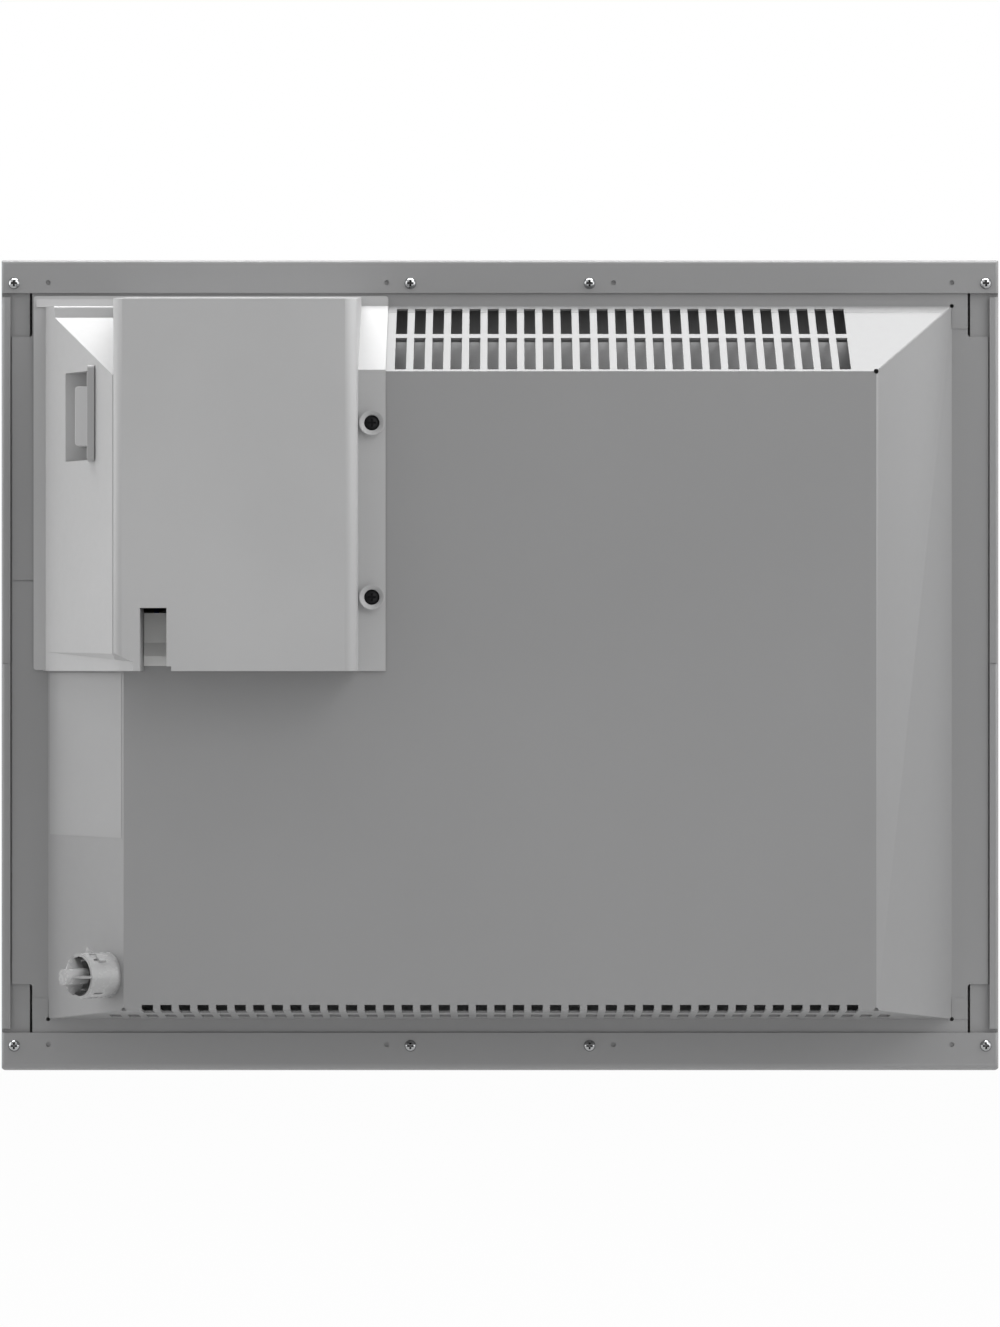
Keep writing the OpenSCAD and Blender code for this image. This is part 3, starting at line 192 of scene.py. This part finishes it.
PAINT = (0.256, 0.256, 0.258)
PLASTIC = (0.4, 0.4, 0.402)
MATERIALS = {
    "front_paint": painted("front_paint", PAINT),
    "casing_paint": painted("casing_paint", PAINT),
    "cover_plastic": moulded("cover_plastic", PLASTIC),
    # Whitish base plastic, partly its own colour and partly painted light, made lighter to brighten the
    # shaded cable notch
    "inner_plastic": moulded("inner_plastic", (0.74, 0.74, 0.73), rough=0.52),
    # Chrome screws with painted shade in their cross recesses
    "bright_steel": chrome("bright_steel", (0.36, 0.365, 0.37), shade_reach=1.6 * MM),
    "black_screws": moulded("black_screws", (0.012, 0.012, 0.013), rough=0.7, spec=0.2),
    "plated_steel": metal("plated_steel", (0.52, 0.52, 0.525), 0.5, stretch=(1, 1, 14), scale=300),
    "circuit_board": board("circuit_board", (0.05, 0.2, 0.09)),
    "relay_case": moulded("relay_case", (0.04, 0.12, 0.36), rough=0.3),
    "module_case": moulded("module_case", (0.03, 0.035, 0.04), rough=0.35),
    "film_case": moulded("film_case", (0.55, 0.36, 0.03), rough=0.3),
    "capacitor_sleeve": moulded("capacitor_sleeve", (0.04, 0.05, 0.07), rough=0.33),
    "fuse_body": ceramic("fuse_body", (0.7, 0.69, 0.66)),
    "shield_can": metal("shield_can", (0.5, 0.51, 0.52), 0.28, stretch=(1, 1, 10), scale=400),
    "terminal_plastic": moulded("terminal_plastic", (0.68, 0.67, 0.62), rough=0.5),
    "bush_rubber": rubber("bush_rubber", (0.02, 0.02, 0.02)),
    # Painted light: the switch frame and rocker are lighter copies of the cover plastic, to brighten their
    # shaded pocket
    "switch_frame": moulded("switch_frame", shade(PLASTIC, 1.45), rough=0.45),
    "rocker_plastic": moulded("rocker_plastic", shade(PLASTIC, 1.4), rough=0.38),
    "terminal_brass": metal("terminal_brass", (0.72, 0.55, 0.28), 0.25, scale=500),
    "cage_plastic": moulded("cage_plastic", shade(PLASTIC, 0.8), rough=0.26),
    "sensor_bead": moulded("sensor_bead", (0.02, 0.02, 0.022), rough=0.35),
    "lead_grey": moulded("lead_grey", (0.4, 0.4, 0.4), rough=0.5),
    "lead_brown": moulded("lead_brown", (0.14, 0.06, 0.03), rough=0.5),
    "lead_blue": moulded("lead_blue", (0.04, 0.1, 0.36), rough=0.5),
    "lead_earth": moulded("lead_earth", (0.2, 0.34, 0.03), rough=0.5),
    "element_aluminium": metal("element_aluminium", (0.6, 0.61, 0.62), 0.42, stretch=(14, 1, 1), scale=260),
    "rod_steel": metal("rod_steel", (0.3, 0.31, 0.32), 0.4, stretch=(10, 1, 1), scale=300, stain=0.2),
    "insulator_ceramic": ceramic("insulator_ceramic", (0.78, 0.74, 0.66)),
    "cutout_case": moulded("cutout_case", (0.035, 0.03, 0.028), rough=0.5),
    "label_film": moulded("label_film", shade(PAINT, 1.15), grain=900, depth=0.004 * MM, rough=0.34),
}
for row in frame["record"]["subparts"]:
    for slot in frame["nodes"][row["node"]].material_slots:
        slot.material = MATERIALS[row["material_slot"]]


# Edges of the CAD nodes
JOIN_DISTANCE = 0.002 * MM
FLAT_ANGLE = math.radians(0.4)
EDGE_ANGLE = math.radians(32)
EDGE_SEGMENTS = 2
EDGE_WIDTHS = {
    "control_box_cover": 0.35 * MM,
    "control_box_base": 0.25 * MM,
    "switch_housing": 0.2 * MM,
    "power_rocker": 0.4 * MM,
    "rear_casing": 0.2 * MM,
    "front_panel": 0.2 * MM,
}


def soften(node, width):
    """Rolls the sharp edges of a CAD node over, without touching its own mesh."""
    o = frame["nodes"][node]
    weld = o.modifiers.new("Join faces", "WELD")
    weld.merge_threshold = JOIN_DISTANCE
    flat = o.modifiers.new("Merge flats", "DECIMATE")
    flat.decimate_type = "DISSOLVE"
    flat.angle_limit = FLAT_ANGLE
    edge = o.modifiers.new("Edges", "BEVEL")
    edge.width = width
    edge.segments = EDGE_SEGMENTS
    edge.limit_method = "ANGLE"
    edge.angle_limit = EDGE_ANGLE
    edge.use_clamp_overlap = True


for name, width in EDGE_WIDTHS.items():
    soften(name, width)


# Stage and lights
FLOOR_Z = -0.52
FLOOR_HALF = 8
FLOOR_COLOUR = (0.45, 0.45, 0.45, 1)
FLOOR_GLOW = 0.97
# Light of the surroundings, from both sides and from the viewer's side
WORLD_SIDE, WORLD_FRONT = 1.2, 0.25
# Name, place, width and height, power in watts
LAMPS = (
    ("overhead", (0, 0.15, 2.0), (2.6, 1.2), 25),
    ("overhead_front", (0, -0.2, 2.0), (2.6, 0.5), 60),
    ("side_right", (-2.2, 0.9, 0.3), (1.2, 1.6), 10),
    ("side_left", (2.2, 0.05, 0.6), (1.2, 1.6), 11),
    ("key", (-1.4, 1.2, 1.6), (1.2, 1.2), 15),
)


def combine(tree, operation, a, b=0):
    """Output of a math node on two values, each a number or another node's output."""
    node = tree.nodes.new("ShaderNodeMath")
    node.operation = operation
    for socket, value in zip(node.inputs, (a, b)):
        if isinstance(value, (int, float)):
            socket.default_value = value
        else:
            tree.links.new(value, socket)
    return node.outputs[0]


def choose(tree, fac, first, second, output):
    """Sends the first shader to the output where fac is 0, and the second where it is 1."""
    mix = tree.nodes.new("ShaderNodeMixShader")
    tree.links.new(fac, mix.inputs["Fac"])
    tree.links.new(first, mix.inputs[1])
    tree.links.new(second, mix.inputs[2])
    tree.links.new(mix.outputs["Shader"], tree.nodes[output].inputs["Surface"])


def floor_material():
    """Pale matt floor that is close to white for the camera and in reflections."""
    mat = bpy.data.materials.new("floor")
    mat.use_nodes = True
    tree = mat.node_tree
    bsdf = tree.nodes["Principled BSDF"]
    bsdf.inputs["Base Color"].default_value = FLOOR_COLOUR
    bsdf.inputs["Roughness"].default_value = 0.9
    bsdf.inputs["Specular IOR Level"].default_value = 0.1
    ray = tree.nodes.new("ShaderNodeLightPath").outputs
    seen = combine(tree, "MAXIMUM", ray["Is Camera Ray"], ray["Is Glossy Ray"])
    seen = combine(tree, "MAXIMUM", seen, ray["Is Transmission Ray"])
    white = tree.nodes.new("ShaderNodeEmission")
    white.inputs["Color"].default_value = WHITE
    white.inputs["Strength"].default_value = 1.0
    glow = combine(tree, "MULTIPLY", seen, FLOOR_GLOW)
    choose(tree, glow, bsdf.outputs["BSDF"], white.outputs["Emission"], "Material Output")
    return mat


def floor():
    """Large square floor below the part."""
    mesh = bpy.data.meshes.new("floor")
    turns = ((-1, -1), (1, -1), (1, 1), (-1, 1))
    mesh.from_pydata([(FLOOR_HALF * x, FLOOR_HALF * y, FLOOR_Z) for x, y in turns], [], [(0, 1, 2, 3)])
    o = bpy.data.objects.new("floor", mesh)
    bpy.context.scene.collection.objects.link(o)
    o.data.materials.append(floor_material())


def studio_world():
    """Soft light from the sides and the viewer's side, seen as plain white by the camera."""
    world = bpy.data.worlds.new("studio")
    bpy.context.scene.world = world
    world.use_nodes = True
    tree = world.node_tree
    split = tree.nodes.new("ShaderNodeSeparateXYZ")
    tree.links.new(tree.nodes.new("ShaderNodeTexCoord").outputs["Generated"], split.inputs[0])
    across = combine(tree, "ABSOLUTE", split.outputs["X"])
    towards = combine(tree, "MAXIMUM", split.outputs["Y"])
    side = combine(tree, "MULTIPLY", across, WORLD_SIDE)
    near = combine(tree, "MULTIPLY", towards, WORLD_FRONT)
    soft = tree.nodes["Background"]
    soft.inputs["Color"].default_value = WHITE
    tree.links.new(combine(tree, "ADD", side, near), soft.inputs["Strength"])
    white = tree.nodes.new("ShaderNodeBackground")
    white.inputs["Color"].default_value = WHITE
    white.inputs["Strength"].default_value = 1.0
    ray = tree.nodes.new("ShaderNodeLightPath").outputs
    seen = combine(tree, "MAXIMUM", ray["Is Camera Ray"], ray["Is Transmission Ray"])
    choose(tree, seen, soft.outputs["Background"], white.outputs["Background"], "World Output")


def lamp(name, place, size, power):
    """Rectangular lamp that points at the origin."""
    light = bpy.data.lights.new(name, "AREA")
    light.shape = "RECTANGLE"
    light.size, light.size_y = size
    light.energy = power
    o = bpy.data.objects.new(name, light)
    bpy.context.scene.collection.objects.link(o)
    o.location = place
    o.rotation_mode = "QUATERNION"
    o.rotation_quaternion = (-Vector(place)).to_track_quat("-Z", "Y")


floor()
studio_world()
for row in LAMPS:
    lamp(*row)


# Camera
# Depth of the rear rim's plane, and the camera's distance from it and height
RIM_Y = -44 * MM
CAMERA_DISTANCE = 1916 * MM
CAMERA_Z = -0.25 * MM
# Pixels per millimetre in the rim's plane, height of the image and row that the camera faces
SCALE = 2.267
IMAGE_H = 1327
AXIS_ROW = 666
SENSOR = 36
camera = bpy.data.cameras.new("camera")
camera.sensor_width = SENSOR
camera.lens = SCALE * CAMERA_DISTANCE / MM * SENSOR / IMAGE_H
camera.shift_y = (AXIS_ROW - IMAGE_H / 2) / IMAGE_H
camera.clip_start, camera.clip_end = 0.05, 50
eye = bpy.data.objects.new("camera", camera)
bpy.context.scene.collection.objects.link(eye)
eye.location = (0, RIM_Y + CAMERA_DISTANCE, CAMERA_Z)
eye.rotation_euler = (math.radians(90), 0, math.radians(180))
bpy.context.scene.camera = eye
bpy.context.scene.view_settings.view_transform = "Standard"
